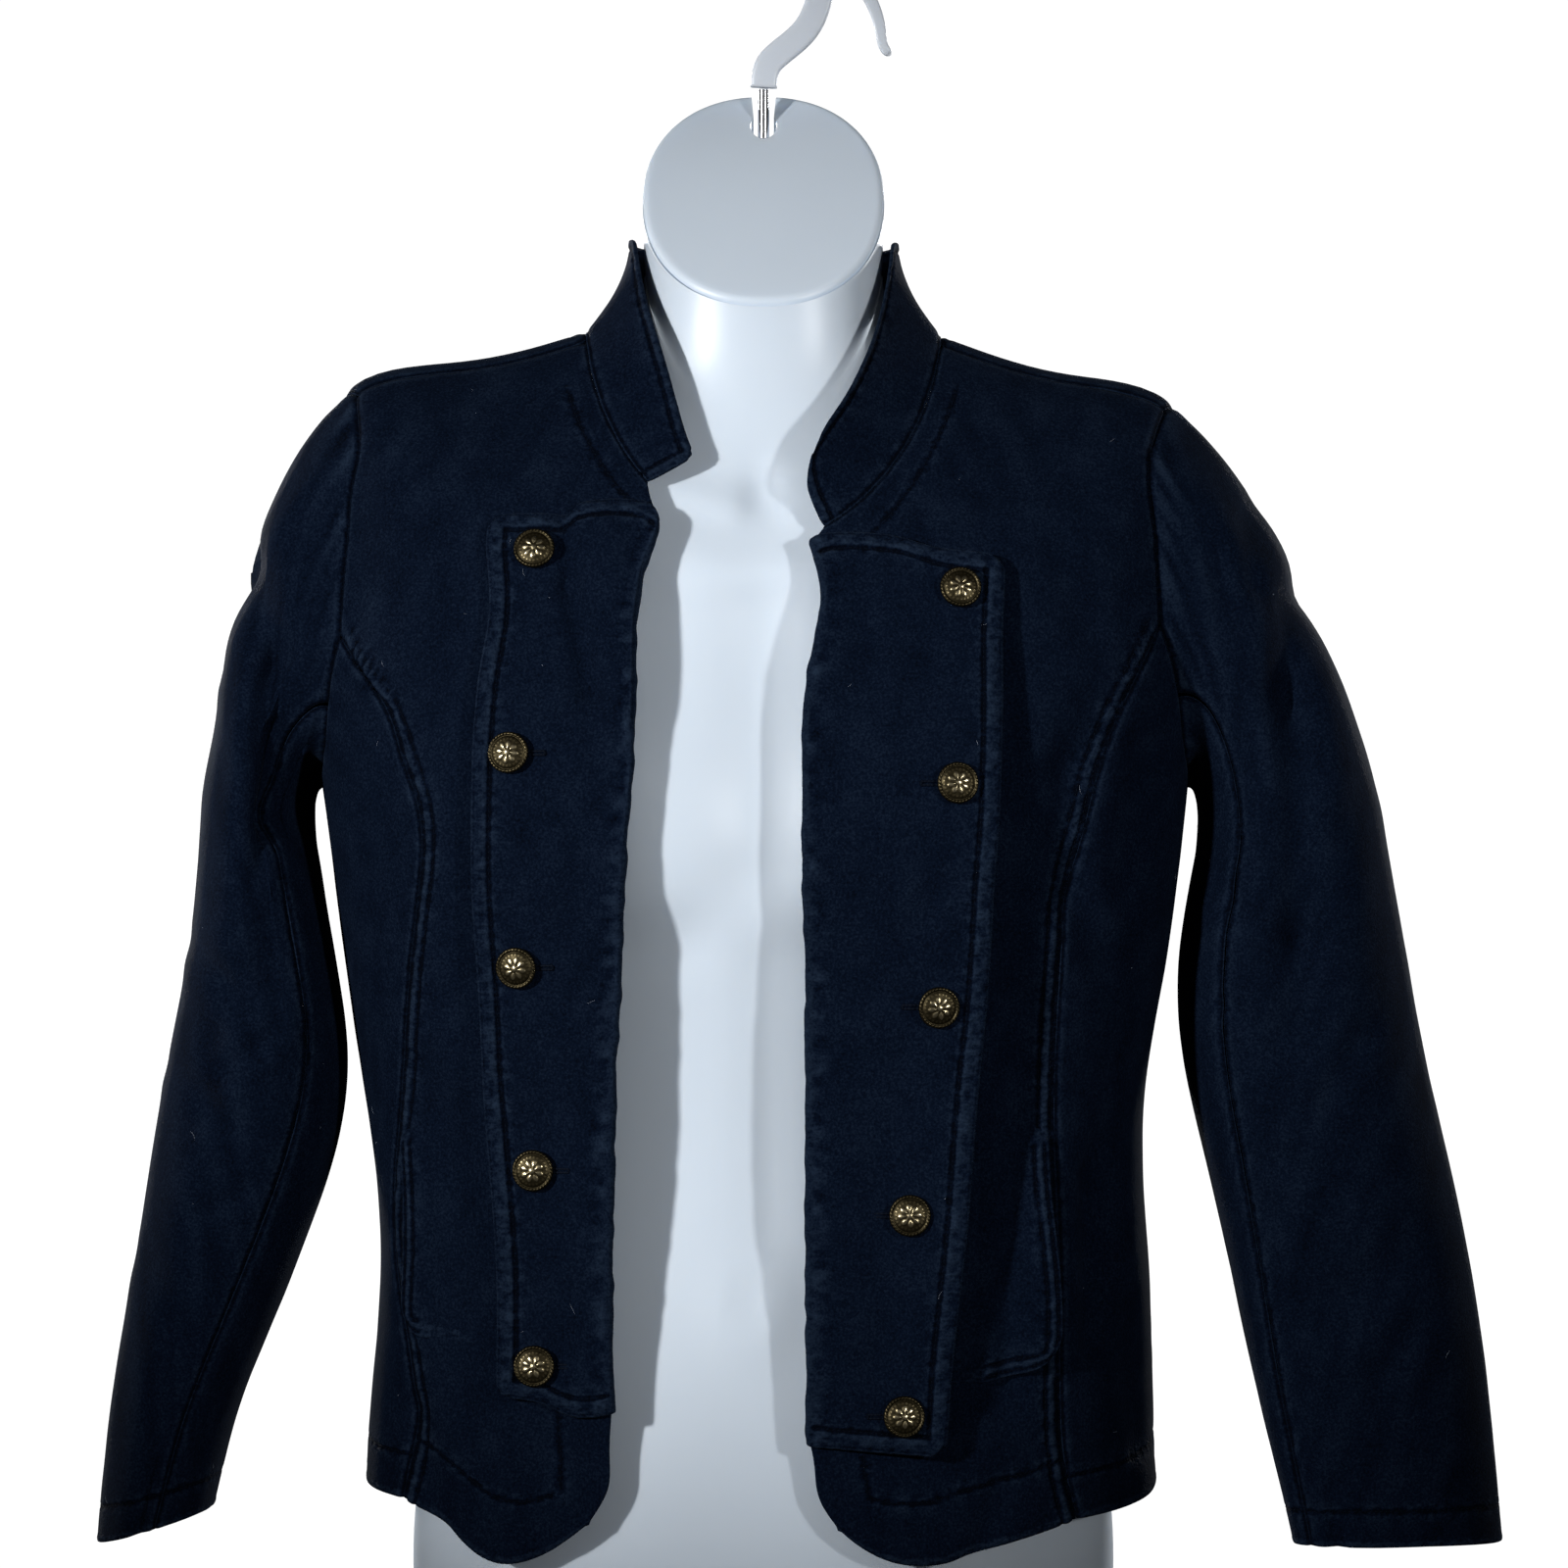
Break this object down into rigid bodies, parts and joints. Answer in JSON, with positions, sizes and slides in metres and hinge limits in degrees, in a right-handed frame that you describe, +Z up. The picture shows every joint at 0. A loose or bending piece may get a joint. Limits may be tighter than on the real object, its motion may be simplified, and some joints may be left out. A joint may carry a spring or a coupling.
{
  "type": "military band jacket on a torso form",
  "caption": "Dark navy band jacket worn open on a pale limbless hanging torso form, with turned-back buttoned lapels and a stand collar.",
  "frame": {"origin": "middle of the torso form's flat base", "axes": "+Z up, -Y to the jacket's front, +X to the wearer's left"},
  "size_m": [0.7281, 0.2575, 0.9382],
  "materials": {
    "cloth": "matte dark navy cotton jersey with a slight nap",
    "button": "antique brass, dark in its hollows",
    "form": "smooth translucent white plastic",
    "hook": "smooth white plastic",
    "stem": "polished metal rod"
  },
  "bodies": {
    "root": {"front_right": "cloth", "front_left": "cloth", "side_front_right": "cloth", "side_front_left": "cloth", "side_back_right": "cloth", "side_back_left": "cloth", "back_right": "cloth", "back_left": "cloth", "sleeve_top_right": "cloth", "sleeve_top_left": "cloth", "sleeve_under_right": "cloth", "sleeve_under_left": "cloth", "lapel_right": "cloth", "lapel_left": "cloth", "pocket_right": "cloth", "pocket_left": "cloth", "collar": "cloth", "button_right_1": "button", "button_right_2": "button", "button_right_3": "button", "button_right_4": "button", "button_right_5": "button", "button_left_1": "button", "button_left_2": "button", "button_left_3": "button", "button_left_4": "button", "button_left_5": "button", "torso_form": "form", "hook": "hook", "hook_stem": "stem"}
  },
  "joints": []
}
